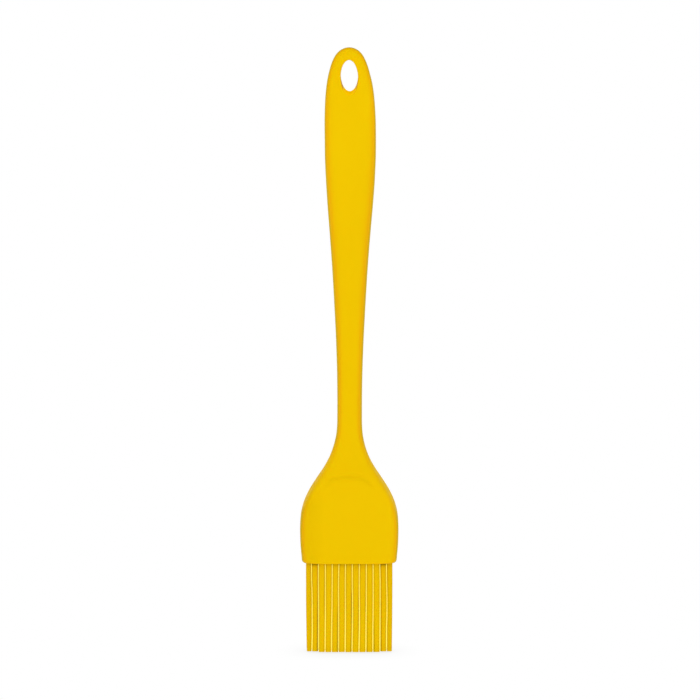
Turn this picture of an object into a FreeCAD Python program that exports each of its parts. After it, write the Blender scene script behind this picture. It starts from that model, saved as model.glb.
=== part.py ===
import FreeCAD
import Part

import math
import os

from FreeCAD import Vector

# One-piece silicone basting brush, in millimetres.
# Frame: +Z runs from the strand tips up to the hanging end, X is the width, Y the depth,
# and the front is -Y. The origin is the centre of the plane the strand tips end on.
# A stiff nylon core is buried in a soft silicone skin. The skin ends in a flat-faced head,
# and a block in the mouth of the head carries rows of bending strands.

# ---------------------------------------------------------------- outside of the skin
TOTAL_LENGTH = 250.0
MOUTH_Z = 37.15           # lowest edge of the head's lip
HEAD_SPLIT_Z = 53.2       # the skin is lofted in two lengths that meet here
HEAD_HALF_DEPTH = 7.45    # the flat faces of the head lie at y = +/- this

# Height, half width.
HALF_WIDTH = [
    (MOUTH_Z, 18.2), (37.3, 18.68), (37.6, 18.99), (38.15, 19.2), (39, 19.36), (41.09, 19.6),
    (45.61, 19.91), (50.53, 20.03), (55.55, 19.77), (60.48, 18.76), (65.5, 16.71),
    (70.52, 13.81), (75.44, 10.69), (80.46, 8.1), (85.38, 6.35), (90.41, 5.3), (95.33, 5.02),
    (102.86, 5.01), (112.8, 5.11), (127.77, 5.56), (142.73, 6.29), (157.7, 7.15),
    (172.57, 8.23), (187.53, 9.42), (197.47, 10.04), (207.52, 10.38), (217.46, 10.41),
    (224.89, 10.2), (229.92, 9.88), (234.94, 9.26), (239.86, 8.19), (243.58, 7.05),
    (246.49, 5.68), (248.3, 4.34), (249.35, 2.95), (249.85, 1.42), (TOTAL_LENGTH, 0.6),
]
# Height, half depth before the head's flats are cut.
HALF_DEPTH = [
    (MOUTH_Z, 6.38), (37.3, 6.9), (37.6, 7.24), (38.15, 7.5), (39, 7.66), (45, 7.86),
    (52, 8.12), (58, 8.42), (62, 8.66), (66, 8.76), (69.1, 8.58), (71.3, 8.15),
    (73.3, 7.45), (76, 6.55), (79, 5.85), (83, 5.25), (87, 4.9), (91, 4.68),
    (96, 4.55), (104, 4.5), (115, 4.55), (130, 4.75), (150, 5.1), (172, 5.45),
    (192, 5.6), (206, 5.5), (217, 5.2), (226, 4.75), (233, 4.3), (239, 3.85),
    (243.5, 3.4), (246.5, 2.85), (248.3, 2.2), (249.35, 1.48), (249.85, 0.8),
    (TOTAL_LENGTH, 0.4),
]
# Height, superellipse exponent of the cross-section: 2 is an ellipse, more is squarer.
SQUARENESS = [
    (MOUTH_Z, 4.0), (52.0, 3.6), (66.0, 3.4), (71.0, 3.2), (75.0, 2.8), (80.0, 2.4),
    (86.0, 2.15), (92.0, 2.1), (222.0, 2.1), (236.0, 2.6), (TOTAL_LENGTH, 2.6),
]
QUARTER_POINTS = 7        # points each quarter of a section is drawn through
QUARTER_STEPS = 240       # fine steps used to space those points evenly

# Oval hanging hole.
HOLE_Z = 238.2
HOLE_HALF_WIDTH = 3.5
HOLE_HALF_HEIGHT = 7.05
RIM_DEPTH = 0.5           # depth of the hole's sloping rim
RIM_OVERSHOOT = 0.35 * RIM_DEPTH    # how far the rim's cutter stands proud of the face
TAPER_REACH = 5.0         # the tab's taper is taken this far above and below the hole's centre

# ---------------------------------------------------------------- core
CORE_HALF_DEPTH = 2.2
CORE_TOP_Z = 247.7
# Height, half width.
CORE_OUTLINE = [
    (57, 10.41), (57.4, 11.99), (59.4, 12.77), (62.4, 12.87), (65.4, 12.18), (69.4, 10.32),
    (73.4, 8.2), (77.4, 6.34), (81.4, 4.96), (85.4, 4.03), (90.4, 3.34), (99.4, 3.09),
    (114.4, 3.19), (129.4, 3.78), (149.4, 4.72), (169.4, 6.04), (189.4, 7.61), (204.4, 8.3),
    (214.4, 8.45), (224.4, 8.2), (232, 7.61), (238, 6.83), (242, 5.85), (245, 4.57),
    (246.9, 2.95),
]
EYE_SIDE_MARGIN = 1.3     # skin between the hanging hole and the core's eye, in X
EYE_END_MARGIN = 1.1      # and in Z

RIB_BOTTOM_Z = 84.0
RIB_TOP_Z = 156.0
RIB_HALF_WIDTH = 1.5
RIB_HALF_DEPTH = 3.0
RIB_BEVEL_LENGTH = 4.0    # each end of the rib is bevelled over this length
RIB_BEVEL_DEPTH = 1.0

CORE_WINDOWS = [          # height, half width, half height
    (168.0, 2.3, 5.0), (187.0, 3.0, 5.5), (206.0, 3.3, 5.5),
]
PADDLE_HOLES = [          # x, z, radius
    (-7.6, 62.6, 2.2), (0.0, 64.0, 2.6), (7.6, 62.6, 2.2),
]
CUTTER_REACH = 20.0       # cutters run this far either side of y = 0
CUTTER_SPARE = 1.0        # how far a cutter stands clear of what it cuts

# ---------------------------------------------------------------- pocket and strand block
POCKET_HALF_WIDTH = 17.74
POCKET_HALF_DEPTH = 5.85
POCKET_CORNER = 3.0
POCKET_TOP_Z = 51.6
BEAD_BOTTOM_Z = 44.6      # locking bead around the block
BEAD_TOP_Z = 46.8
BEAD_PROUD = 0.5
SEAT_GAP = 0.04           # between the block and the pocket
BLOCK_FACE_Z = 38.25      # lower face of the block, inside the mouth

# ---------------------------------------------------------------- strands
HINGE_Z = 37.95           # the strands bend about lines at this height
TIP_Z = 0.0
COLUMN_PITCH = 2.766
ROW_PITCH = 2.80
ROOT_WIDTH, TIP_WIDTH = 2.50, 2.33
ROOT_DEPTH, TIP_DEPTH = 1.90, 1.72
ROOT_CORNER = 0.60
TIP_CORNER = 0.92 * ROOT_CORNER
SOCKET_GAP = 0.05         # between a strand's root and its groove

# The outermost column on each side sits closer in, is narrower and leans in at the tip.
OUTERMOST_COLUMN = 6
OUTERMOST_X = 16.50
OUTERMOST_ROOT_WIDTH, OUTERMOST_TIP_WIDTH = 2.08, 1.98
OUTERMOST_LEAN = 0.14

# The nine middle columns are four strands deep. The two columns at each end are three deep,
# so their front strands sit further back. Each run of neighbouring columns shares a groove.
MIDDLE_RUNS = [(-4, -3, -2, -1, 0, 1, 2, 3, 4)]
END_RUNS = [(-6, -5), (5, 6)]
ROWS = [                  # name, row pitches behind the middle, runs of columns
    ("front", -1.5, MIDDLE_RUNS),
    ("inner_front", -0.5, MIDDLE_RUNS),
    ("inner_back", 0.5, MIDDLE_RUNS),
    ("back", 1.5, MIDDLE_RUNS),
    ("end_front", -1.0, END_RUNS),
    ("end_middle", 0.0, END_RUNS),
    ("end_back", 1.0, END_RUNS),
]


# ---------------------------------------------------------------- helpers
def smooth_through(table):
    """A monotone cubic function through (x, y) pairs that never overshoots."""
    xs = [x for x, _ in table]
    ys = [y for _, y in table]
    last = len(xs) - 1
    gaps = [xs[i + 1] - xs[i] for i in range(last)]
    chords = [(ys[i + 1] - ys[i]) / gaps[i] for i in range(last)]
    # Slope at each point: a weighted harmonic mean, or level where the chords change sign.
    slopes = [0.0] * (last + 1)
    slopes[0], slopes[-1] = chords[0], chords[-1]
    for i in range(1, last):
        if chords[i - 1] * chords[i] > 0:
            before = 2 * gaps[i] + gaps[i - 1]
            after = gaps[i] + 2 * gaps[i - 1]
            slopes[i] = (before + after) / (before / chords[i - 1] + after / chords[i])

    def value(x):
        if x <= xs[0]:
            return ys[0]
        if x >= xs[-1]:
            return ys[-1]
        i = max(k for k in range(last) if xs[k] <= x)
        t = (x - xs[i]) / gaps[i]
        return (
            (2 * t**3 - 3 * t**2 + 1) * ys[i]
            + (t**3 - 2 * t**2 + t) * gaps[i] * slopes[i]
            + (3 * t**2 - 2 * t**3) * ys[i + 1]
            + (t**3 - t**2) * gaps[i] * slopes[i + 1]
        )

    return value


half_width = smooth_through(HALF_WIDTH)
half_depth = smooth_through(HALF_DEPTH)
squareness = smooth_through(SQUARENESS)


def solid_of(shape):
    """The only solid in a shape."""
    found = shape.Solids
    if len(found) != 1:
        raise RuntimeError("expected one solid, found %d" % len(found))
    return found[0]


def rounded_rectangle(half_x, half_y, radius, z, centre_x=0.0, centre_y=0.0):
    x0, x1 = centre_x - half_x, centre_x + half_x
    y0, y1 = centre_y - half_y, centre_y + half_y
    r = radius
    mid = r * math.sqrt(0.5)  # from a corner's centre to the middle of its arc, in X and in Y

    def line(*ends):
        return Part.makeLine(*[Vector(x, y, z) for x, y in ends])

    def arc(*points):
        return Part.Arc(*[Vector(x, y, z) for x, y in points]).toShape()

    return Part.Wire([
        line((x0 + r, y0), (x1 - r, y0)),
        arc((x1 - r, y0), (x1 - r + mid, y0 + r - mid), (x1, y0 + r)),
        line((x1, y0 + r), (x1, y1 - r)),
        arc((x1, y1 - r), (x1 - r + mid, y1 - r + mid), (x1 - r, y1)),
        line((x1 - r, y1), (x0 + r, y1)),
        arc((x0 + r, y1), (x0 + r - mid, y1 - r + mid), (x0, y1 - r)),
        line((x0, y1 - r), (x0, y0 + r)),
        arc((x0, y0 + r), (x0 + r - mid, y0 + r - mid), (x0 + r, y0)),
    ])


def upright_ellipse(half_x, half_z, z):
    """An ellipse in the plane y = 0, taller than it is wide."""
    ellipse = Part.Ellipse(Vector(0, 0, z), half_z, half_x)
    ellipse.Axis = Vector(0, 1, 0)
    ellipse.XAxis = Vector(0, 0, 1)
    return Part.Wire([ellipse.toShape()])


def extrude_both_ways(face, reach):
    """The face at y = 0, extruded to y = +/- reach."""
    face.translate(Vector(0, -reach, 0))
    return face.extrude(Vector(0, 2 * reach, 0))


# ---------------------------------------------------------------- outside of the skin
def quarter_points(z, sign_x, sign_y):
    """Evenly spaced points on a quarter of the section at z, from the X axis to the Y axis."""
    a, b, exponent = half_width(z), half_depth(z), squareness(z)
    fine = []
    for k in range(QUARTER_STEPS + 1):
        angle = 0.5 * math.pi * k / QUARTER_STEPS
        fine.append((
            a * abs(math.cos(angle)) ** (2 / exponent),
            b * abs(math.sin(angle)) ** (2 / exponent),
        ))
    fine[0], fine[-1] = (a, 0.0), (0.0, b)
    run = [0.0]
    for p, q in zip(fine, fine[1:]):
        run.append(run[-1] + math.hypot(q[0] - p[0], q[1] - p[1]))

    points, j = [], 0
    for k in range(QUARTER_POINTS):
        target = run[-1] * k / (QUARTER_POINTS - 1)
        while j < QUARTER_STEPS - 1 and run[j + 1] < target:
            j += 1
        part = min(1.0, (target - run[j]) / max(run[j + 1] - run[j], 1e-12))
        x = fine[j][0] + part * (fine[j + 1][0] - fine[j][0])
        y = fine[j][1] + part * (fine[j + 1][1] - fine[j][1])
        points.append(Vector(sign_x * x, sign_y * y, z))
    points[0], points[-1] = Vector(sign_x * a, 0, z), Vector(0, sign_y * b, z)
    return points


def section_wire(z):
    """The section at z as four quarter curves, starting on +X and turning towards +Y."""
    edges = []
    for sign_x, sign_y in ((1, 1), (-1, 1), (-1, -1), (1, -1)):
        points = quarter_points(z, sign_x, sign_y)
        start, end = Vector(0, sign_y, 0), Vector(-sign_x, 0, 0)
        if sign_x * sign_y < 0:
            points = points[::-1]
            start, end = Vector(sign_x, 0, 0), Vector(0, -sign_y, 0)
        curve = Part.BSplineCurve()
        curve.interpolate(Points=points, InitialTangent=start, FinalTangent=end)
        edges.append(curve.toShape())
    return Part.Wire(edges)


def hanging_hole():
    """A bar that cuts the hanging hole and its sloping rim on both faces of the tapering tab."""
    face_y = half_depth(HOLE_Z)
    drop = half_depth(HOLE_Z - TAPER_REACH) - half_depth(HOLE_Z + TAPER_REACH)
    tilt = math.degrees(math.atan(drop / (2 * TAPER_REACH)))
    flare = RIM_DEPTH + RIM_OVERSHOOT
    rings = []
    for side, grow, rise in (
        (-1, flare, RIM_OVERSHOOT),
        (-1, 0.0, -RIM_DEPTH),
        (1, 0.0, -RIM_DEPTH),
        (1, flare, RIM_OVERSHOOT),
    ):
        ring = upright_ellipse(HOLE_HALF_WIDTH + grow, HOLE_HALF_HEIGHT + grow, HOLE_Z)
        ring.translate(Vector(0, side * (face_y + rise), 0))
        ring.rotate(Vector(0, side * face_y, HOLE_Z), Vector(1, 0, 0), side * tilt)
        rings.append(ring)
    return Part.makeLoft(rings, True, True, False)


def skin_outside():
    heights = sorted([z for z, _ in HALF_WIDTH] + [HEAD_SPLIT_Z])
    # Wider and taller than the brush, so it only trims the head's two flat faces.
    slab = Part.makeBox(60, 2 * HEAD_HALF_DEPTH, 300, Vector(-30, -HEAD_HALF_DEPTH, 0))
    lengths = []
    for low, high in ((MOUTH_Z, HEAD_SPLIT_Z), (HEAD_SPLIT_Z, TOTAL_LENGTH)):
        wires = [section_wire(z) for z in heights if low <= z <= high]
        piece = solid_of(Part.makeLoft(wires, True, False, False))
        lengths.append(solid_of(piece.common(slab)))
    body = solid_of(lengths[0].fuse(lengths[1]))
    return solid_of(body.cut(hanging_hole()))


def handle_skin(core):
    """The skin, hollowed for the strand block and the core."""
    pocket = beaded_plug(0.0, MOUTH_Z - CUTTER_SPARE)
    return solid_of(skin_outside().cut(pocket).cut(core))


# ---------------------------------------------------------------- core
def core_bar():
    """The flat bar that follows the skin."""
    right = [Vector(w, 0, z) for z, w in CORE_OUTLINE]
    left = [Vector(-w, 0, z) for z, w in reversed(CORE_OUTLINE)]
    side = Part.BSplineCurve()
    side.interpolate(Points=right + [Vector(0, 0, CORE_TOP_Z)] + left)
    foot = Part.makeLine(left[-1], right[0])
    face = Part.Face(Part.Wire([side.toShape(), foot]))
    return solid_of(extrude_both_ways(face, CORE_HALF_DEPTH))


def core_rib():
    """A rib proud of both faces of the bar, bevelled at both ends."""
    rib = Part.makeBox(
        2 * RIB_HALF_WIDTH, 2 * RIB_HALF_DEPTH, RIB_TOP_Z - RIB_BOTTOM_Z,
        Vector(-RIB_HALF_WIDTH, -RIB_HALF_DEPTH, RIB_BOTTOM_Z),
    )
    x = -RIB_HALF_WIDTH - CUTTER_SPARE
    for end_z, inward in ((RIB_BOTTOM_Z, 1), (RIB_TOP_Z, -1)):
        for side in (1, -1):
            corner = Vector(x, side * RIB_HALF_DEPTH, end_z)
            along = Vector(x, side * RIB_HALF_DEPTH, end_z + inward * RIB_BEVEL_LENGTH)
            across = Vector(x, side * (RIB_HALF_DEPTH - RIB_BEVEL_DEPTH), end_z)
            triangle = Part.Face(Part.makePolygon([corner, along, across, corner]))
            rib = rib.cut(triangle.extrude(Vector(-2 * x, 0, 0)))
    return rib


def handle_core():
    body = solid_of(core_bar().fuse(core_rib()).removeSplitter())
    eye = (HOLE_Z, HOLE_HALF_WIDTH + EYE_SIDE_MARGIN, HOLE_HALF_HEIGHT + EYE_END_MARGIN)
    for z, half_x, half_z in [eye] + CORE_WINDOWS:
        face = Part.Face(upright_ellipse(half_x, half_z, z))
        body = body.cut(extrude_both_ways(face, CUTTER_REACH))
    for x, z, radius in PADDLE_HOLES:
        start = Vector(x, -CUTTER_REACH, z)
        body = body.cut(Part.makeCylinder(radius, 2 * CUTTER_REACH, start, Vector(0, 1, 0)))
    return solid_of(body)


# ---------------------------------------------------------------- strand block
def beaded_plug(inset, bottom_z):
    """The pocket's shape drawn in by inset: 0 gives the pocket, SEAT_GAP gives the block."""
    half_x, half_y = POCKET_HALF_WIDTH - inset, POCKET_HALF_DEPTH - inset
    corner = POCKET_CORNER - inset
    bead_gap = SEAT_GAP - inset  # the pocket's groove is taller than the block's bead

    def prism(grow, low, high):
        outline = rounded_rectangle(half_x + grow, half_y + grow, corner + grow, low)
        return Part.Face(outline).extrude(Vector(0, 0, high - low))

    plug = prism(0.0, bottom_z, POCKET_TOP_Z - inset)
    bead = prism(BEAD_PROUD, BEAD_BOTTOM_Z - bead_gap, BEAD_TOP_Z + bead_gap)
    return solid_of(plug.fuse(bead).removeSplitter())


def column_place(column):
    """Middle, root width, tip width and lean in X of a column of strands."""
    if abs(column) == OUTERMOST_COLUMN:
        side = math.copysign(1, column)
        lean = -side * OUTERMOST_LEAN
        return side * OUTERMOST_X, OUTERMOST_ROOT_WIDTH, OUTERMOST_TIP_WIDTH, lean
    return column * COLUMN_PITCH, ROOT_WIDTH, TIP_WIDTH, 0.0


def strand_base():
    """The block, with a round groove for the roots of every run of strands."""
    body = beaded_plug(SEAT_GAP, BLOCK_FACE_Z)
    for _, offset, runs in ROWS:
        for run in runs:
            first_x, first_width, _, _ = column_place(run[0])
            last_x, last_width, _, _ = column_place(run[-1])
            x0 = first_x - first_width / 2 - SOCKET_GAP
            x1 = last_x + last_width / 2 + SOCKET_GAP
            start = Vector(x0, offset * ROW_PITCH, HINGE_Z)
            radius = ROOT_DEPTH / 2 + SOCKET_GAP
            body = body.cut(Part.makeCylinder(radius, x1 - x0, start, Vector(1, 0, 0)))
    return solid_of(body)


# ---------------------------------------------------------------- strands
def strand(column, y):
    """A tapering shaft with a half-round knuckle on top of its root."""
    x, root_width, tip_width, lean = column_place(column)
    root = rounded_rectangle(root_width / 2, ROOT_DEPTH / 2, ROOT_CORNER, HINGE_Z, x, y)
    tip = rounded_rectangle(tip_width / 2, TIP_DEPTH / 2, TIP_CORNER, TIP_Z, x + lean, y)
    shaft = Part.makeLoft([tip, root], True, True, False)
    start = Vector(x - root_width / 2, y, HINGE_Z)
    knuckle = Part.makeCylinder(ROOT_DEPTH / 2, root_width, start, Vector(1, 0, 0))
    # Keep the upper half, with the shaft's rounded corners.
    stem = Part.Face(root).extrude(Vector(0, 0, ROOT_DEPTH))
    return solid_of(shaft.fuse(knuckle.common(stem)))


def strand_row(offset, runs):
    y = offset * ROW_PITCH
    return Part.makeCompound([strand(column, y) for run in runs for column in run])


# ---------------------------------------------------------------- write
def main():
    os.makedirs("parts", exist_ok=True)
    core = handle_core()
    parts = {
        "handle_core": core,
        "handle_skin": handle_skin(core),
        "strand_base": strand_base(),
    }
    for name, offset, runs in ROWS:
        parts["strand_row_" + name] = strand_row(offset, runs)
    for name, shape in parts.items():
        shape.exportStep("parts/%s.step" % name)


main()
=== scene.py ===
"""A silicone brush with a flat head and a hanging hole, standing on its strand tips.

The tips are at z = 0 and the handle ends at z = 250 mm. The width runs along x, with the right at
+x, and the depth along y, with the front at -y. Sizes are in millimetres unless noted; meshes and
materials turn them into metres with MM.
"""
import math
import random
from itertools import combinations, product

import bpy
import numpy as np
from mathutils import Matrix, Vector


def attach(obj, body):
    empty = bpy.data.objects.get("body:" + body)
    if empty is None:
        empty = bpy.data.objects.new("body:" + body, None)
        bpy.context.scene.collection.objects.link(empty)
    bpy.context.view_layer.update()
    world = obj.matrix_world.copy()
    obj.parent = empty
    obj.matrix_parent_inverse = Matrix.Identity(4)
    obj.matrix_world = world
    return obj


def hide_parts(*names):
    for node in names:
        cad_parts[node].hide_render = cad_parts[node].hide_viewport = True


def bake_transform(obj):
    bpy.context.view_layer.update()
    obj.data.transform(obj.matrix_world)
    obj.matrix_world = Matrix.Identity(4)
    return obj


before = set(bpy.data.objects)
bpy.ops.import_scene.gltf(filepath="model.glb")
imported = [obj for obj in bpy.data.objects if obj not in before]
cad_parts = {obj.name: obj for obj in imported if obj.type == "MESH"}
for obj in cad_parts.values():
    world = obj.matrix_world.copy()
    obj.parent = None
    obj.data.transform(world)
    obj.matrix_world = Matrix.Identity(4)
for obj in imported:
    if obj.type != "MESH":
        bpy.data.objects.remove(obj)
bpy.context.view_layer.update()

MM = 0.001

# ---------------------------------------------------------------- handle and head
TOTAL_LENGTH = 250.0
MOUTH_Z = 37.15
# Height, half width.
HALF_WIDTH = [
    (MOUTH_Z, 19.27), (38.15, 19.31), (39, 19.36), (41.09, 19.6), (45.61, 19.91), (50.53, 20.03),
    (55.55, 19.77), (60.48, 18.72), (65.5, 16.52), (70.52, 13.52), (75.44, 10.42), (80.46, 7.92),
    (85.38, 6.28), (90.41, 5.29), (95.33, 5.02), (102.86, 5.01), (112.8, 5.11), (127.77, 5.56),
    (142.73, 6.29), (157.7, 7.15), (172.57, 8.23), (187.53, 9.42), (197.47, 10.04),
    (207.52, 10.38), (217.46, 10.41), (224.89, 10.2), (229.92, 9.88), (234.94, 9.26),
    (239.86, 8.19), (243.58, 7.05), (246.49, 5.68), (248.3, 4.18), (249.35, 2.60),
    (249.85, 1.20), (TOTAL_LENGTH, 0.05),
]
# Height, half depth.
HALF_DEPTH = [
    (MOUTH_Z, 7.62), (45, 7.86), (52, 8.08), (58, 8.30), (62, 8.46), (65, 8.52), (67.1, 8.38),
    (69.1, 8.02), (71.3, 7.66), (73.3, 7.36), (76, 6.68), (79, 5.92), (83, 5.27), (87, 4.9),
    (91, 4.68), (96, 4.55), (104, 4.5), (115, 4.55), (130, 4.75), (150, 5.1), (172, 5.45),
    (192, 5.6), (206, 5.5), (217, 5.2), (226, 4.75), (233, 4.3), (239, 3.85), (243.5, 3.4),
    (246.5, 2.85), (248.3, 2.2), (249.35, 1.48), (249.85, 0.8), (TOTAL_LENGTH, 0.04),
]
# Height, exponent of the superellipse section: 2 is an ellipse, more is squarer.
SQUARENESS = [
    (MOUTH_Z, 4.4), (52.0, 4.4), (60.0, 5.0), (66.0, 5.8), (71.0, 5.4), (75.0, 4.6), (80.0, 3.5),
    (86.0, 2.6), (92.0, 2.2), (222.0, 2.15), (236.0, 2.7), (TOTAL_LENGTH, 2.6),
]
# The handle is not quite straight: height, how far it stands to the right.
BOW = [
    (75, 0.0), (84, 0.02), (92, 0.12), (110, 0.18), (134, 0.24), (160, 0.28), (180, 0.36),
    (196, 0.45), (208, 0.45), (221, 0.34), (232, 0.18), (238.7, 0.02), (245, -0.06),
    (TOTAL_LENGTH, 0.0),
]
END_CUT = 0.02                      # taken off the very end of the handle
HEAD_HALF_DEPTH = 7.45              # the flat faces of the head
CREASE_ROUND = 0.35
LIP_ROUND, LIP_CORNER_ROUND = 0.55, 0.85
LIP_CORNER_X, LIP_CORNER_SPAN = 16.6, 2.2
# The moulded line that ends the flat face of the head: sideways place, height.
ARCH = [
    (-15.4, 58.8), (-14.6, 61.9), (-13.2, 65.1), (-11.0, 68.6), (-8.8, 71.2), (-6.4, 72.7),
    (-3.0, 73.2), (0.0, 73.3), (3.0, 73.2), (5.8, 72.6), (8.0, 70.9), (11.0, 68.9),
    (14.0, 66.6), (16.2, 63.3),
]
ARCH_DEPTH, ARCH_HALF_WIDTH = 0.26, 0.70
ARCH_END_X, ARCH_FADE = 13.2, 5.2   # where the line has faded out, and over what width
HOLE_Z, HOLE_HALF_WIDTH, HOLE_HALF_HEIGHT, HOLE_ROUND = 238.2, 3.5, 7.05, 0.55
POCKET_HALF_WIDTH, POCKET_HALF_DEPTH, POCKET_CORNER, POCKET_TOP_Z = 17.74, 5.85, 3.0, 51.6
POCKET_ROUND = 0.35
SKIN_LOW, SKIN_HIGH, SKIN_GRID = (-21.9, -8.9, 35.6), (21.9, 8.9, 251.2), 0.42
RELAX_ROUNDS = 6

# ---------------------------------------------------------------- strand block and strands
BLOCK_FACE_Z = 38.45
BLOCK_OVERLAP = 0.02                # into the walls of the pocket
# Height, inset of the outline.
BLOCK_RINGS = [
    (43.0, 0.0), (BLOCK_FACE_Z, 0.0), (BLOCK_FACE_Z, 0.5), (BLOCK_FACE_Z, 1.5),
    (BLOCK_FACE_Z, 3.0), (BLOCK_FACE_Z, 4.3),
]

COLUMN_PITCH = 2.766
LAST_COLUMN = 6                     # columns run from -6 at the left to 6 at the right
END_COLUMN_X = 16.50
ROW_PITCH = 2.80
HINGE_Z = 37.95
MIDDLE_COLUMNS = (-4, -3, -2, -1, 0, 1, 2, 3, 4)
END_COLUMNS = (-6, -5, 5, 6)
# Name, place in row pitches toward the back, columns, whether it leads at the front.
ROWS = [
    ("front", -1.5, MIDDLE_COLUMNS, True),
    ("inner_front", -0.5, MIDDLE_COLUMNS, False),
    ("inner_back", 0.5, MIDDLE_COLUMNS, False),
    ("back", 1.5, MIDDLE_COLUMNS, False),
    ("end_front", -1.0, END_COLUMNS, True),
    ("end_middle", 0.0, END_COLUMNS, False),
    ("end_back", 1.0, END_COLUMNS, False),
]
ROOT_DEPTH, TIP_DEPTH = 1.90, 1.72
ROOT_GAP, TIP_GAP = 0.12, 0.20      # between neighbouring strands of a row
STRAND_CORNER = 0.60
CORNER_STEPS = 6
FACE_LINES = (0.66, 0.86)           # extra points on the broad faces, in half widths from a wall
BACK_EXTRA = 0.04                   # added half width of the strands behind the leading rows
SIDE_STEP, SIDE_STEP_RIGHT = 0.17, (-0.5, 0.0, 1.5)     # rows behind that step to the right
WANDER_X, WANDER_Y, LEAD_WANDER = 0.05, 0.34, 0.45
TIP_SPREAD = 0.06                   # how far a tip may end above z = 0

# Rings of a strand at its root: height, flare.
ROOT_RINGS = [
    (BLOCK_FACE_Z + 1.6, 0.30), (BLOCK_FACE_Z + 0.25, 0.30), (BLOCK_FACE_Z, 0.22),
    (BLOCK_FACE_Z - 0.15, 0.10), (BLOCK_FACE_Z - 0.35, 0.03), (BLOCK_FACE_Z - 0.6, 0.0),
    (37.3, 0.0), (36.9, 0.0), (36.5, 0.0), (36.1, 0.0), (35.7, 0.0), (35.2, 0.0), (34.6, 0.0),
]
SHAFT_STEPS = 30
TIP_ROUND = 0.16
# Rings round the tip: distance below the end of the shaft, inset.
TIP_RINGS = [(0.10, 0.02), (0.145, 0.06), (TIP_ROUND, 0.12)]

# Middle of each of the twelve gaps between the thirteen front strands, and the outer edges of the
# outermost two: x at each of these heights.
GAP_HEIGHTS = [38.2, 30.1, 25.1, 20.1, 15.1, 10.0, 6.0, 0.0]
GAPS = [
    [-15.40, -15.38, -15.16, -15.10, -15.12, -15.07, -15.10, -15.25],
    [-12.55, -12.56, -12.52, -12.51, -12.52, -12.52, -12.54, -12.56],
    [-9.73, -9.73, -9.74, -9.75, -9.73, -9.79, -9.82, -9.85],
    [-6.90, -6.93, -6.99, -7.00, -7.11, -7.18, -7.23, -7.24],
    [-4.16, -4.35, -4.38, -4.33, -4.35, -4.36, -4.37, -4.39],
    [-1.52, -1.61, -1.62, -1.58, -1.59, -1.61, -1.66, -1.69],
    [1.22, 1.22, 1.28, 1.32, 1.31, 1.26, 1.18, 1.11],
    [4.08, 4.07, 4.07, 4.12, 4.13, 4.11, 4.04, 3.95],
    [6.92, 6.94, 6.93, 6.92, 6.85, 6.82, 6.80, 6.77],
    [9.70, 9.71, 9.72, 9.72, 9.68, 9.61, 9.62, 9.61],
    [12.40, 12.54, 12.56, 12.55, 12.54, 12.52, 12.50, 12.51],
    [15.09, 15.16, 15.31, 15.35, 15.34, 15.19, 15.19, 15.19],
]
LEFT_EDGE = [-17.62, -17.60, -17.56, -17.54, -17.48, -17.40, -17.34, -17.27]
RIGHT_EDGE = [17.50, 17.52, 17.52, 17.50, 17.48, 17.42, 17.38, 17.34]
# Sides of front strands that lean behind their neighbour and lie in its shade:
# (strand number from the left, side): height and depth of shade, down the strand.
LEANING = {
    (2, 1): [(26, 0.0), (20, 0.15), (12, 0.34), (0, 0.36)],
    (3, 1): [(34, 0.0), (30, 0.12), (20, 0.14), (14, 0.0)],
    (5, 1): [(21, 0.0), (15, 0.26), (3, 0.30), (0, 0.26)],
    (7, 1): [(28, 0.0), (22, 0.28), (15, 0.24), (9, 0.12), (3, 0.26)],
    (8, 1): [(26, 0.0), (21, 0.14), (9, 0.14), (4, 0.0)],
    (9, 1): [(27, 0.0), (21, 0.16), (13, 0.0)],
    (10, -1): [(16, 0.0), (10, 0.14), (0, 0.18)],
    (11, -1): [(16, 0.0), (10, 0.18), (3, 0.30), (0, 0.28)],
    (12, -1): [(24, 0.0), (18, 0.10), (3, 0.22)],
}
# How deep the shadow of the mouth lies on each front strand's root, from the left.
ROOT_SHADE = [0.12, 0.60, 0.02, 0.08, 0.15, 0.16, 0.18, 0.15, 0.11, 0.06, 0.02, 0.66, 0.12]
# Shade along a wall that faces another strand: distances from the wall, share of the full shade.
FLANK_REACH, FLANK_LEVEL = [0.0, 0.10, 0.19, 0.46, 0.64], [0.0, 0.0, 1.0, 1.0, 0.0]
FLANK_SHADE, LEAN_BACK_SHARE = 0.17, 0.3
TIP_SHADE, TIP_SHADE_Z = 0.05, 5.0
OUTER_SHADE, MOST_SHADE = 0.07, 0.75


# ---------------------------------------------------------------- smooth tables
def monotone_cubic(table):
    """A smooth curve through the table that never overshoots it."""
    xs, ys = np.array(table, float).T
    steps = np.diff(xs)
    rises = np.diff(ys) / steps
    slopes = np.zeros(len(xs))
    slopes[0], slopes[-1] = rises[0], rises[-1]
    for i in range(1, len(xs) - 1):
        if rises[i - 1] * rises[i] > 0:
            before, after = 2 * steps[i] + steps[i - 1], steps[i] + 2 * steps[i - 1]
            slopes[i] = (before + after) / (before / rises[i - 1] + after / rises[i])

    def curve(x):
        x = np.clip(x, xs[0], xs[-1])
        i = np.clip(np.searchsorted(xs, x, side="right") - 1, 0, len(xs) - 2)
        t = (x - xs[i]) / steps[i]
        return (
            (2 * t**3 - 3 * t**2 + 1) * ys[i]
            + (t**3 - 2 * t**2 + t) * steps[i] * slopes[i]
            + (3 * t**2 - 2 * t**3) * ys[i + 1]
            + (t**3 - t**2) * steps[i] * slopes[i + 1]
        )

    return curve


def smoothed(values, reach):
    """Evens out the last trace of the joints between table entries."""
    kernel = np.hanning(2 * reach + 3)[1:-1]
    kernel /= kernel.sum()
    padded = np.concatenate([np.full(reach, values[0]), values, np.full(reach, values[-1])])
    return np.convolve(padded, kernel, mode="valid")


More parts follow.
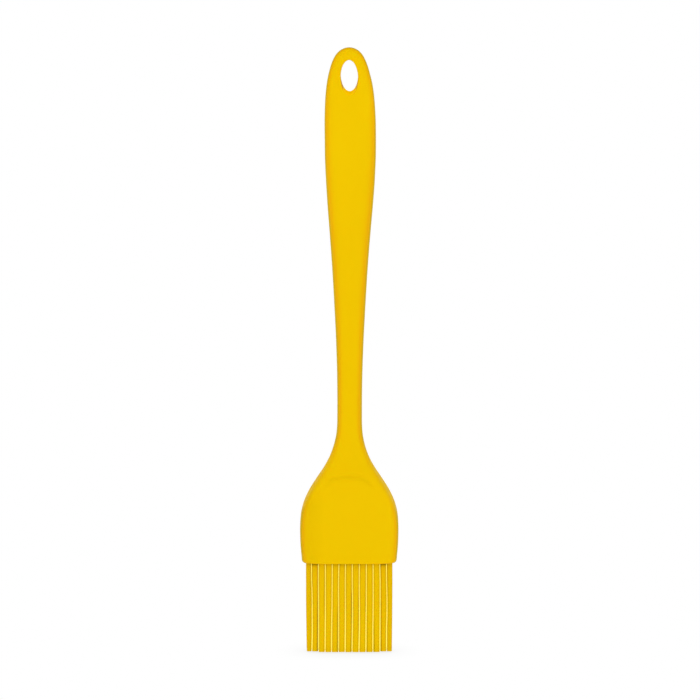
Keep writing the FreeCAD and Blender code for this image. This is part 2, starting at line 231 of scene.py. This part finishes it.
def outline_samples(table):
    """Half width or half depth, smoothed everywhere but at the tight curve of the end."""
    values = monotone_cubic(table)(Z_FINE)
    return np.where(Z_FINE < 240.0, smoothed(values, 50), values)


FINE_STEP = 0.05
Z_FINE = np.arange(30.0, TOTAL_LENGTH + FINE_STEP / 2, FINE_STEP)
WIDTH_FINE = outline_samples(HALF_WIDTH)
DEPTH_FINE = outline_samples(HALF_DEPTH)
POWER_FINE = smoothed(monotone_cubic(SQUARENESS)(Z_FINE), 60)
BOW_FINE = smoothed(monotone_cubic(BOW)(Z_FINE), 80)
WIDTH_SLOPE = np.gradient(WIDTH_FINE, FINE_STEP)
DEPTH_SLOPE = np.gradient(DEPTH_FINE, FINE_STEP)


# ---------------------------------------------------------------- the skin as a distance field
def common_part(first, second, radius):
    """The part inside both fields, with the edge between them rounded."""
    u, v = np.maximum(first + radius, 0), np.maximum(second + radius, 0)
    return np.minimum(np.maximum(first, second), -radius) + np.sqrt(u * u + v * v)


def arch_distance(x, z):
    """Distance from the moulded line, in the plane of the head's face."""
    best = np.full(x.shape, 1e9)
    for (x0, z0), (x1, z1) in zip(ARCH[:-1], ARCH[1:]):
        dx, dz = x1 - x0, z1 - z0
        t = np.clip(((x - x0) * dx + (z - z0) * dz) / (dx * dx + dz * dz), 0, 1)
        best = np.minimum(best, np.hypot(x - x0 - t * dx, z - z0 - t * dz))
    return best


def solid_field(x, y, z):
    """The handle and head without openings: a superellipse at every height."""
    width, depth, power, width_slope, depth_slope = (
        np.interp(z, Z_FINE, samples)
        for samples in (WIDTH_FINE, DEPTH_FINE, POWER_FINE, WIDTH_SLOPE, DEPTH_SLOPE)
    )
    x_part, y_part = (x / width) ** power, (y / depth) ** power
    size = (x_part + y_part) ** (1 / power)
    scale = size ** (1 - power)
    gx, gy = scale * x_part / x, scale * y_part / y
    gz = scale * (x_part * width_slope / width + y_part * depth_slope / depth)
    return (size - 1) / np.sqrt(gx * gx + gy * gy + gz * gz + 1e-12)


def hole_field(x, z):
    """The oval hanging hole."""
    u, v = x / HOLE_HALF_WIDTH, z / HOLE_HALF_HEIGHT
    size = np.sqrt(u * u + v * v) + 1e-9
    slope = np.sqrt((u / HOLE_HALF_WIDTH) ** 2 + (v / HOLE_HALF_HEIGHT) ** 2) / size + 1e-9
    return (size - 1) / slope


def pocket_field(x, y, z):
    """The pocket in the head that holds the strand block."""
    past_x = x - (POCKET_HALF_WIDTH - POCKET_CORNER)
    past_y = y - (POCKET_HALF_DEPTH - POCKET_CORNER)
    side = (
        np.sqrt(np.maximum(past_x, 0) ** 2 + np.maximum(past_y, 0) ** 2)
        + np.minimum(np.maximum(past_x, past_y), 0)
        - POCKET_CORNER
    )
    return np.maximum(side, z - POCKET_TOP_Z)


def skin_field(points):
    """Distance outside the skin; negative within the silicone."""
    z = points[:, 2]
    across = points[:, 0] - np.interp(z, Z_FINE, BOW_FINE)
    x, y = np.abs(across) + 1e-6, np.abs(points[:, 1]) + 1e-6
    body = solid_field(x, y, z)
    at_end = z > TOTAL_LENGTH - END_CUT
    body = np.where(at_end, np.maximum(body, z - TOTAL_LENGTH + END_CUT), body)
    body = common_part(body, y - HEAD_HALF_DEPTH, CREASE_ROUND)
    to_corner = np.clip((x - LIP_CORNER_X) / LIP_CORNER_SPAN, 0, 1) ** 2
    lip = LIP_ROUND + (LIP_CORNER_ROUND - LIP_ROUND) * to_corner
    body = common_part(body, MOUTH_Z - z, lip)
    near = (z > 57) & (z < 77) & (y > 4.0)
    from_line = arch_distance(across[near], z[near]) / ARCH_HALF_WIDTH
    fade = np.clip((ARCH_END_X - x[near]) / ARCH_FADE, 0, 1)
    body[near] += ARCH_DEPTH * fade * np.exp(-from_line * from_line)
    with_hole = common_part(body, -hole_field(x, z - HOLE_Z), HOLE_ROUND)
    body = np.where(z > 220, with_hole, body)
    return np.where(z < 60, common_part(body, -pocket_field(x, y, z), POCKET_ROUND), body)


# ---------------------------------------------------------------- from a field to a mesh
def field_gradient(field, points, reach=0.02):
    gradient = np.empty_like(points)
    for axis in range(3):
        moved = points.copy()
        moved[:, axis] += reach
        ahead = field(moved)
        moved[:, axis] -= 2 * reach
        gradient[:, axis] = (ahead - field(moved)) / (2 * reach)
    return gradient


def settle(field, points, longest_step):
    """Moves points onto the surface of the field."""
    for _ in range(2):
        distance = field(points)
        gradient = field_gradient(field, points)
        steepness = np.maximum((gradient * gradient).sum(1), 0.05)
        step = distance[:, None] * gradient / steepness[:, None]
        size = np.sqrt((step * step).sum(1))[:, None]
        points = points - step * np.minimum(1.0, longest_step / np.maximum(size, 1e-9))
    return points


def cell_points(values, inside):
    """One point, in grid units, per cell that the surface crosses, and the number of each cell."""
    nx, ny, nz = (count - 1 for count in values.shape)
    corners = list(product((0, 1), repeat=3))
    filled = sum(inside[i : i + nx, j : j + ny, k : k + nz].astype(int) for i, j, k in corners)
    crossed = (filled > 0) & (filled < 8)
    numbers = np.full(crossed.shape, -1, int)
    numbers[crossed] = np.arange(crossed.sum())
    cells = np.argwhere(crossed)
    total, hits = np.zeros((len(cells), 3)), np.zeros(len(cells))
    for start, end in combinations(np.array(corners), 2):
        if np.abs(start - end).sum() != 1:
            continue
        at_start = values[tuple((cells + start).T)]
        at_end = values[tuple((cells + end).T)]
        crosses = (at_start < 0) != (at_end < 0)
        t = np.where(crosses, at_start / np.where(crosses, at_start - at_end, 1.0), 0.0)
        point = (cells + start) + t[:, None] * (end - start)
        total += np.where(crosses[:, None], point, 0.0)
        hits += crosses
    return total, hits, numbers


def cell_faces(inside, numbers):
    """One quad round every grid edge that the surface crosses."""
    faces = []
    for axis in range(3):
        first = np.take(inside, range(inside.shape[axis] - 1), axis)
        second = np.take(inside, range(1, inside.shape[axis]), axis)
        edges = np.argwhere(first != second)
        u, v = (axis + 1) % 3, (axis + 2) % 3
        keep = (edges[:, u] > 0) & (edges[:, v] > 0)
        keep &= (edges[:, u] < inside.shape[u] - 1) & (edges[:, v] < inside.shape[v] - 1)
        edges = edges[keep]
        ring = []
        for du, dv in ((-1, -1), (0, -1), (0, 0), (-1, 0)):
            cells = edges.copy()
            cells[:, u] += du
            cells[:, v] += dv
            ring.append(numbers[tuple(cells.T)])
        ring = np.stack(ring, 1)
        outward = first[tuple(edges.T)]
        ring[~outward] = ring[~outward][:, ::-1]
        faces.append(ring)
    return np.concatenate(faces)


def relax(field, points, faces, longest_step):
    """Evens out the quads while the points stay on the surface."""
    pairs = np.concatenate([faces[:, [i, (i + 1) % 4]] for i in range(4)])
    pairs = np.unique(np.sort(pairs, 1), axis=0)
    one, other = pairs.T
    count = len(points)
    degree = np.bincount(pairs.ravel(), minlength=count).astype(float)
    for _ in range(RELAX_ROUNDS):
        total = np.zeros_like(points)
        for axis in range(3):
            total[:, axis] = np.bincount(one, points[other, axis], count) + np.bincount(
                other, points[one, axis], count
            )
        points = points + 0.5 * (total / degree[:, None] - points)
        points = settle(field, points, longest_step)
    return points


def surface(field, low, high, pitch):
    """Even quads over the surface of a distance field."""
    axes = [np.arange(start, end + pitch, pitch) for start, end in zip(low, high)]
    y, z = np.meshgrid(axes[1], axes[2], indexing="ij")
    values = np.empty([len(axis) for axis in axes])
    for i, x in enumerate(axes[0]):
        slab = np.stack([np.full(y.size, x), y.ravel(), z.ravel()], 1)
        values[i] = field(slab).reshape(y.shape)
    inside = values < 0
    total, hits, numbers = cell_points(values, inside)
    points = np.array(low)[None, :] + pitch * total / hits[:, None]
    faces = cell_faces(inside, numbers)
    points = settle(field, points, 0.5 * pitch)
    return relax(field, points, faces, 0.5 * pitch), faces


def mesh_object(name, points, faces, material, smooth=True, **attributes):
    """An object from points in millimetres; attributes hold one number per point."""
    mesh = bpy.data.meshes.new(name)
    vertices = [tuple(point) for point in np.asarray(points) * MM]
    mesh.from_pydata(vertices, [], [tuple(int(i) for i in face) for face in faces])
    mesh.validate()
    mesh.update()
    if smooth:
        mesh.polygons.foreach_set("use_smooth", [True] * len(mesh.polygons))
    obj = bpy.data.objects.new(name, mesh)
    bpy.context.scene.collection.objects.link(obj)
    for key, values in attributes.items():
        mesh.attributes.new(key, "FLOAT", "POINT").data.foreach_set("value", values)
    mesh.materials.append(material)
    return obj


def rounded_rectangle(half_x, half_y, radius, corner_steps, face_lines=()):
    """A closed outline; face_lines are distances from a side wall of extra points front and back."""
    radius = min(radius, half_x * 0.98, half_y * 0.98)
    points = []
    for sx, sy, start in ((1, -1, -90), (1, 1, 0), (-1, 1, 90), (-1, -1, 180)):
        if sx != sy:
            along = [-(half_x - d) for d in face_lines]
            along += [half_x - d for d in reversed(face_lines)]
            points.extend((sx * x, sy * half_y) for x in along)
        for k in range(corner_steps + 1):
            t = math.radians(start + 90.0 * k / corner_steps)
            x = sx * (half_x - radius) + radius * math.cos(t)
            points.append((x, sy * (half_y - radius) + radius * math.sin(t)))
    return points


def tube_faces(ring_count, size, base=0):
    """Quads between rings that follow one another downward."""
    faces = []
    for i in range(ring_count - 1):
        for j in range(size):
            a, b = base + i * size + j, base + i * size + (j + 1) % size
            faces.append((a, a + size, b + size, b))
    return faces


# ---------------------------------------------------------------- strands
def unit(value):
    return min(max(value, 0.0), 1.0)


def drift(rng, size):
    """A slow wander down a strand, zero at the root."""
    lean, belly, wave = rng.uniform(-1, 1), rng.uniform(-1, 1), rng.uniform(0.3, 0.7)
    return lambda s: size * (
        lean * s * s + 0.5 * belly * math.sin(math.pi * s) * s + 0.12 * math.sin(6.0 * s * wave)
    )


def strand_edges(column, z, down):
    """Left and right side of a front strand at height z."""
    def at(line):
        return float(np.interp(-z, [-height for height in GAP_HEIGHTS], line))

    gap = ROOT_GAP + (TIP_GAP - ROOT_GAP) * down
    index = column + LAST_COLUMN
    left = at(LEFT_EDGE) if column == -LAST_COLUMN else at(GAPS[index - 1]) + gap / 2
    right = at(RIGHT_EDGE) if column == LAST_COLUMN else at(GAPS[index]) - gap / 2
    return left, right


def painted_gap_light(column, leads, side, from_wall, at_back, z, down):
    """Painted light: glow on the walls that face another strand, standing in for light that comes
    through the gaps and the silicone.
    """
    if side * column >= LAST_COLUMN:
        return 0.0
    if not leads:
        fading, gone = 0.22, 0.34
    elif abs(column) == 5 and side * column < 0:
        fading, gone = 0.20, 0.30
    else:
        fading, gone = 0.08 + 0.05 * down, 0.14 + 0.07 * down
    lit = float(np.interp(from_wall, [0.0, 0.02, fading, gone], [1.0, 1.0, 0.60, 0.0]))
    if not leads and abs(column) == 4 and side * column > 0 and at_back:
        lit *= 0.25     # seen from the side of the brush, past the end columns
    if from_wall < 0.004:
        lit *= 0.20     # the flat of the wall is turned away from the light
    below_mouth = min(1.0, max(0.0, (37.0 - z) / 1.2))
    return lit * (0.89 + 0.11 * down) * below_mouth * min(1.0, 0.35 + z / 1.5)


def strand_shade(column, leads, side, from_wall, at_front, z):
    """Shade between strands, under the mouth, at the tips and on the outermost strands."""
    index = column + LAST_COLUMN
    flank = 0.0
    if side * column < LAST_COLUMN:
        flank = float(np.interp(from_wall, FLANK_REACH, FLANK_LEVEL))
    deep = FLANK_SHADE
    if leads and (index + 1, side) in LEANING:
        heights, depths = zip(*sorted(LEANING[index + 1, side]))
        deep += float(np.interp(z, heights, depths)) * (1.0 if at_front else LEAN_BACK_SHARE)
    from_mouth = unit((z - 35.2) / 1.2)
    shadow = ROOT_SHADE[index] * from_mouth * from_mouth if leads else 0.0
    tip = TIP_SHADE * unit((TIP_SHADE_Z - z) / TIP_SHADE_Z)
    outer = OUTER_SHADE if abs(column) == LAST_COLUMN and leads else 0.0
    return min(MOST_SHADE, flank * deep + shadow + tip + outer)


def add_strand(row, column, offset, leads, rng):
    """Adds one square-cut strand, from inside the block down to its flat tip."""
    tip_z = 0.0 if column == 0 else rng.uniform(0.0, TIP_SPREAD)
    wander_x, wander_y = drift(rng, WANDER_X), drift(rng, WANDER_Y)
    # The rows behind stand a little to one side of the front row, but not out past its ends.
    beside = SIDE_STEP if offset in SIDE_STEP_RIGHT else -SIDE_STEP
    if abs(column) == LAST_COLUMN and beside * column > 0:
        beside = 0.0
    shaft_top, shaft_end = ROOT_RINGS[-1][0], tip_z + TIP_ROUND
    stations = list(ROOT_RINGS)
    for k in range(1, SHAFT_STEPS + 1):
        stations.append((shaft_top + (shaft_end - shaft_top) * k / SHAFT_STEPS, 0.0))
    stations += [(shaft_end - drop, -inset) for drop, inset in TIP_RINGS]
    rings = []
    for z, flare in stations:
        down = unit((HINGE_Z - z) / HINGE_Z)
        left, right = strand_edges(column, z, down)
        center_x, half_x = (left + right) / 2, (right - left) / 2
        if not leads:
            nominal = column * COLUMN_PITCH
            if abs(column) == LAST_COLUMN:
                nominal = math.copysign(END_COLUMN_X, column)
            center_x = (0.15 * nominal + 0.85 * (left + right) / 2) + wander_x(down)
            center_x += beside * min(1.0, 5 * down)
            half_x += BACK_EXTRA
        center_y = offset * ROW_PITCH + (LEAD_WANDER if leads else 1.0) * wander_y(down)
        half_y = (ROOT_DEPTH + (TIP_DEPTH - ROOT_DEPTH) * down) / 2
        wall_x = half_x + flare * 0.45
        radius = STRAND_CORNER * (1 - 0.08 * down) + max(flare, 0) * 0.3
        face_lines = tuple(share * half_x for share in FACE_LINES)
        outline = rounded_rectangle(wall_x, half_y + flare, radius, CORNER_STEPS, face_lines)
        rings.append([(center_x + x, center_y + y, z) for x, y in outline])
        for x, y in outline:
            side = 1 if x > 0 else -1
            from_wall = max(wall_x - abs(x), 0.0)
            row["glow"].append(painted_gap_light(column, leads, side, from_wall, y > 0, z, down))
            row["shade"].append(strand_shade(column, leads, side, from_wall, y < 0, z))
            row["grazing"].append(1.0 if leads or y > 0 else 0.0)
    points, faces = row["points"], row["faces"]
    base, size = len(points), len(rings[0])
    for ring in rings:
        points.extend(ring)
    faces.extend(tube_faces(len(rings), size, base))
    # The hidden top and the flat tip, each closed by a middle point.
    for i in (0, len(rings) - 1):
        middle = len(points)
        points.append(tuple(np.mean(np.array(rings[i]), 0)))
        for key in ("glow", "shade", "grazing"):
            row[key].append(0.0)
        for j in range(size):
            a, b = base + i * size + j, base + i * size + (j + 1) % size
            faces.append((b, a, middle) if i else (a, b, middle))


# ---------------------------------------------------------------- shader nodes
class Nodes:
    """The emptied node tree of a material or world, with short ways to fill it."""

    def __init__(self, owner):
        owner.use_nodes = True
        self.tree = owner.node_tree
        self.tree.nodes.clear()

    def feed(self, socket, value):
        """Links an output to the socket, or sets its value."""
        if isinstance(value, bpy.types.NodeSocket):
            self.tree.links.new(value, socket)
        else:
            socket.default_value = value

    def put(self, node, **inputs):
        for key, value in inputs.items():
            self.feed(node.inputs[key.replace("_", " ")], value)

    def add(self, kind, **inputs):
        node = self.tree.nodes.new("ShaderNode" + kind)
        self.put(node, **inputs)
        return node

    def math(self, operation, *values):
        node = self.add("Math")
        node.operation = operation
        for socket, value in zip(node.inputs, values):
            self.feed(socket, value)
        return node.outputs[0]

    def remap(self, value, start=0.0, end=1.0, before=0.0, after=1.0, kind="SMOOTHSTEP"):
        """Goes from before to after while value goes from start to end."""
        node = self.add("MapRange")
        node.interpolation_type = kind
        self.put(node, From_Min=start, From_Max=end, To_Min=before, To_Max=after, Value=value)
        return node.outputs["Result"]

    def tinted(self, color, tint, amount):
        node = self.add("Mix")
        node.data_type = "RGBA"
        node.blend_type = "MULTIPLY"
        # Of the Mix inputs, 0 is the factor and 6 and 7 are the two colours.
        for index, value in ((0, amount), (6, color), (7, (*tint, 1))):
            self.feed(node.inputs[index], value)
        return node.outputs[2]

    def attribute(self, name):
        node = self.add("Attribute")
        node.attribute_name = name
        return node.outputs["Fac"]


class Silicone(Nodes):
    """What all three silicones share: pigment, soft sheen and the grain of the mould."""

    def __init__(self, name, light, deep):
        self.material = bpy.data.materials.new(name)
        super().__init__(self.material)
        self.bsdf = self.add(
            "BsdfPrincipled", Roughness=0.50, IOR=1.41, Specular_IOR_Level=0.09,
            Specular_Tint=(1.0, 0.74, 0.03, 1), Subsurface_Weight=0.20,
            Subsurface_Radius=(1.0, 0.55, 0.04), Subsurface_Scale=0.0016,
        )
        self.add("OutputMaterial", Surface=self.bsdf.outputs["BSDF"])
        self.facing = self.add("LayerWeight", Blend=0.5).outputs["Facing"]
        self.place = self.add("TexCoord").outputs["Object"]
        # Slow variation of the pigment, barely visible.
        cloud = self.add("TexNoise", Scale=38.0, Detail=3.0, Roughness=0.55, Vector=self.place)
        ramp = self.add("ValToRGB", Fac=cloud.outputs["Fac"])
        stops = ramp.color_ramp.elements
        for stop, position, color in zip(stops, (0.30, 0.70), (deep, light)):
            stop.position = position
            stop.color = (*color, 1)
        self.tone = ramp.outputs["Color"]
        # The fine matte grain of the mould.
        grain = self.add("TexNoise", Scale=4200.0, Detail=2.0, Roughness=0.6, Vector=self.place)
        self.normal = self.bump(grain.outputs["Fac"], Strength=0.10, Distance=0.00003)

    def bump(self, height, **inputs):
        return self.add("Bump", Height=height, **inputs).outputs["Normal"]

    def tint(self, tint, amount):
        self.tone = self.tinted(self.tone, tint, amount)

    def paint_turned_away_shade(self):
        """Painted shade: deeper and more orange where the surface rolls away from the eye."""
        self.tint((1.0, 0.83, 0.9), self.remap(self.facing, start=0.10, end=0.46))
        self.tint((0.70, 0.90, 1.0), self.remap(self.facing, start=0.44, end=0.86))

    def finish(self):
        self.put(self.bsdf, Base_Color=self.tone, Normal=self.normal)
        return self.material


def skin_silicone():
    skin = Silicone("silicone_skin", light=(0.897, 0.574, 0.0010), deep=(0.882, 0.560, 0.0009))
    math_node, remap = skin.math, skin.remap
    split = skin.add("SeparateXYZ", Vector=skin.place)
    x, y, z = (split.outputs[axis] for axis in "XYZ")

    # An oval over the hanging hole, leaning a little; only its lower end is used, where painted
    # light stands in for light coming through from both sides.
    lean, shift = 0.018, 0.03
    slant = math_node("ADD", x, math_node("MULTIPLY", z, lean))
    from_axis = math_node("SUBTRACT", slant, (shift + lean * HOLE_Z) * MM)
    u = math_node("DIVIDE", from_axis, HOLE_HALF_WIDTH * MM)
    v = math_node("DIVIDE", math_node("SUBTRACT", z, HOLE_Z * MM), HOLE_HALF_HEIGHT * MM)
    squares = math_node("ADD", math_node("MULTIPLY", u, u), math_node("MULTIPLY", v, v))
    oval = math_node("SQRT", squares)
    lower_end = remap(
        z, start=(HOLE_Z - 5.6) * MM, end=(HOLE_Z - 4.2) * MM, before=1.0, after=0.0
    )
    inside = remap(oval, start=1.0, end=1.05, before=1.0, after=0.0)
    outside = math_node("SUBTRACT", 1.0, math_node("MULTIPLY", inside, lower_end))
    painted_hole_light = remap(oval, start=1.0, end=1.035, before=1.0, after=0.0)
    painted_light_strength = 0.235
    specular = 0.06
    # Painted light: a yellow glow on the lower wall of the hole, where the specular is turned down
    # too.
    skin.put(
        skin.bsdf,
        Specular_IOR_Level=math_node("MULTIPLY", outside, specular),
        Emission_Color=(1.0, 1.0, 0.0, 1),
        Emission_Strength=math_node(
            "MULTIPLY", math_node("MULTIPLY", painted_hole_light, lower_end), painted_light_strength
        ),
        # The handle end took a little more polish than the head.
        Roughness=remap(z, start=0.15, end=0.22, before=0.52, after=0.44),
    )

    # The painted edge shade is weaker on the edges of the shoulders, which face up toward the light.
    low = remap(z, start=0.056, end=0.066, before=1.0, after=0.25)
    high = remap(z, start=0.076, end=0.090, before=0.0, after=0.75)
    turned_up = math_node("ADD", low, high)
    # The painted edge shade is left off the flat faces of the head, which keep one tone from every
    # side.
    rolled = skin.attribute("rolled")
    painted_edge_shade = math_node("MULTIPLY", remap(skin.facing, start=0.06, end=0.36), turned_up)
    painted_edge_shade = math_node("MULTIPLY", painted_edge_shade, rolled)
    rim_falloff = 2.6
    painted_rim_shade = remap(skin.facing, start=0.32, end=0.62)
    painted_rim_shade = math_node("MULTIPLY", painted_rim_shade, math_node("POWER", turned_up, rim_falloff))
    painted_rim_shade = math_node("MULTIPLY", math_node("MULTIPLY", painted_rim_shade, outside), rolled)
    # Painted light: the upper end of the handle is a shade lighter.
    skin.tint((1.024, 1.036, 1.0), remap(z, start=0.150, end=0.212))
    # Painted shade: darker and more orange at edges that turn away from the eye, darker still at the
    # rim.
    skin.tint((0.99, 0.80, 0.9), painted_edge_shade)
    skin.tint((0.76, 0.96, 1.0), painted_rim_shade)
    # Painted shade from the shade attribute: the moulded line and the front left of the head.
    skin.tint((0.0, 0.0, 0.0), skin.attribute("shade"))

    # The thin line that the two halves of the mould leave along both sides.
    line = remap(math_node("ABSOLUTE", y), start=0.00004, end=0.00022, before=1.0, after=0.0)
    skin.normal = skin.bump(line, Strength=0.7, Distance=0.00008, Normal=skin.normal)
    return skin.finish()


def strand_silicone():
    strand = Silicone(
        "silicone_strands", light=(0.862, 0.549, 0.0012), deep=(0.846, 0.533, 0.0010)
    )
    # Painted light: the front strands and the rear halves glow only along walls that are seen edge
    # on.
    face_on = strand.remap(strand.facing, start=0.22, end=0.48, before=1.0, after=0.0)
    lost = strand.math("MULTIPLY", strand.attribute("grazing"), face_on)
    shown = strand.math("MULTIPLY", strand.attribute("glow"), strand.math("SUBTRACT", 1.0, lost))
    painted_light_strength = 0.95
    strand.put(
        strand.bsdf,
        Emission_Color=(0.80, 0.92, 0.17, 1),
        Emission_Strength=strand.math("MULTIPLY", shown, painted_light_strength),
    )
    strand.paint_turned_away_shade()
    # Painted shade from the shade attribute: between strands, under the mouth, at the tips and on
    # the outermost strands.
    strand.tint((0.0, 0.0, 0.0), strand.attribute("shade"))
    return strand.finish()


def core_nylon():
    core = Silicone("nylon_core", light=(0.62, 0.42, 0.05), deep=(0.58, 0.39, 0.045))
    core.paint_turned_away_shade()
    return core.finish()


# ---------------------------------------------------------------- pieces
def make_skin(material):
    points, faces = surface(skin_field, SKIN_LOW, SKIN_HIGH, SKIN_GRID)
    x, y, z = points.T
    # Painted shade: a darker trace in the moulded line, and at the front left of the head, where it
    # turns away.
    painted_crease_shade = np.exp(-((arch_distance(x, z) / 0.95) ** 2)) * np.clip((10.5 - np.abs(x)) / 3.5, 0, 1)
    painted_crease_shade *= (np.abs(y) > 4.0) & (z > 56) & (z < 78)
    painted_side_shade = np.clip((-x - 10.0) / 5.0, 0, 1) * np.clip((70 - z) / 8, 0, 1)
    painted_side_shade *= np.clip((-y - 2) / 3, 0, 1)
    flat = np.clip((np.abs(y) - 7.15) / 0.25, 0, 1) * (z < 80)
    shade = 0.055 * painted_crease_shade + 0.06 * painted_side_shade
    skin = mesh_object("silicone_skin", points, faces, material, shade=shade, rolled=1.0 - flat)
    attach(skin, "handle")
    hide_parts("handle_skin")


def make_block(material):
    """The block that the strands grow from, deep in the mouth of the head."""
    points = []
    for z, inset in BLOCK_RINGS:
        half_x = POCKET_HALF_WIDTH + BLOCK_OVERLAP - inset
        half_y = POCKET_HALF_DEPTH + BLOCK_OVERLAP - inset
        outline = rounded_rectangle(half_x, half_y, max(POCKET_CORNER - inset, 0.2), 10)
        points.extend((x, y, z) for x, y in outline)
    size = len(outline)
    faces = tube_faces(len(BLOCK_RINGS), size)
    faces.append(tuple(range(size)))
    faces.append(tuple(reversed(range(len(points) - size, len(points)))))
    block = mesh_object("strand_block", points, faces, material, smooth=False)
    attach(block, "handle")
    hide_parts("strand_base")


def make_row(name, offset, columns, leads, rng, material):
    data = {key: [] for key in ("points", "faces", "glow", "shade", "grazing")}
    for column in columns:
        add_strand(data, column, offset, leads, rng)
    row = mesh_object("strands_" + name, material=material, **data)
    row.modifiers.new("keep edges", "WEIGHTED_NORMAL").keep_sharp = True
    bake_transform(row)
    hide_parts("strand_row_" + name)


# ---------------------------------------------------------------- stage, in metres
def make_world():
    """White to the camera; to the object a soft studio, brighter in front of it than behind."""
    world = bpy.data.worlds.new("studio")
    bpy.context.scene.world = world
    sky = Nodes(world)
    toward = sky.add("VectorMath")
    toward.operation = "DOT_PRODUCT"
    sky.feed(toward.inputs[0], sky.add("TexCoord").outputs["Generated"])
    sky.feed(toward.inputs[1], Vector((-0.05, -1.0, 0.22)).normalized())
    level = sky.remap(
        toward.outputs["Value"], start=-1.0, end=1.0, before=0.46, after=1.06, kind="LINEAR"
    )
    studio = sky.add("Background", Color=(1, 1, 1, 1), Strength=level)
    plain = sky.add("Background", Color=(1, 1, 1, 1), Strength=1.0)
    choose = sky.add("MixShader", Fac=sky.add("LightPath").outputs["Is Camera Ray"])
    sky.feed(choose.inputs[1], studio.outputs["Background"])
    sky.feed(choose.inputs[2], plain.outputs["Background"])
    sky.add("OutputWorld", Surface=choose.outputs["Shader"])


def make_floor():
    """A pale disc just below the tips, with a painted contact shadow: a little darker where the
    object is near.
    """
    radius, ring_spread = 1.6, 1.6
    rings, turns = 24, 96
    vertices = [(0.0, 0.0, 0.0)]
    for i in range(1, rings + 1):
        r = radius * (i / rings) ** ring_spread
        for j in range(turns):
            t = 2 * math.pi * j / turns
            vertices.append((r * math.cos(t), r * math.sin(t), 0.0))
    faces = [(0, 1 + j, 1 + (j + 1) % turns) for j in range(turns)]
    faces += tube_faces(rings, turns, base=1)
    mesh = bpy.data.meshes.new("floor")
    mesh.from_pydata(vertices, [], faces)
    floor = bpy.data.objects.new("floor", mesh)
    floor.location = (0, 0, -0.0006)
    bpy.context.scene.collection.objects.link(floor)

    material = bpy.data.materials.new("pale_floor")
    nodes = Nodes(material)
    # Painted contact shadow: the floor's glow is dimmed where the object is near.
    near = nodes.add("AmbientOcclusion", Distance=0.014)
    near.samples = 8
    strength = nodes.remap(near.outputs["AO"], before=0.86, after=1.0, kind="LINEAR")
    glow = nodes.add("Emission", Strength=strength)
    nodes.add("OutputMaterial", Surface=glow.outputs["Emission"])
    mesh.materials.append(material)


def make_camera():
    """Looks down a little, so that the lower wall of the hanging hole shows."""
    look_down, distance = math.radians(12.0), 9.4759
    target = Vector((0.0003, 0.0, 0.1247))
    data = bpy.data.cameras.new("camera")
    data.lens = 1200.0
    data.sensor_width = 36.0
    data.clip_end = 50.0
    camera = bpy.data.objects.new("camera", data)
    bpy.context.scene.collection.objects.link(camera)
    camera.location = target + distance * Vector((0, -math.cos(look_down), math.sin(look_down)))
    camera.rotation_euler = (math.radians(90) - look_down, 0, 0)
    bpy.context.scene.camera = camera


skin_material = skin_silicone()
strand_material = strand_silicone()
core_material = core_nylon()

make_skin(skin_material)
make_block(strand_material)
for index, row_plan in enumerate(ROWS):
    make_row(*row_plan, random.Random(71 + 13 * index), strand_material)
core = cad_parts["handle_core"]
core.data.materials.clear()
core.data.materials.append(core_material)

make_world()
make_floor()
make_camera()
bpy.context.scene.view_settings.view_transform = "Standard"
bpy.context.scene.view_settings.look = "None"
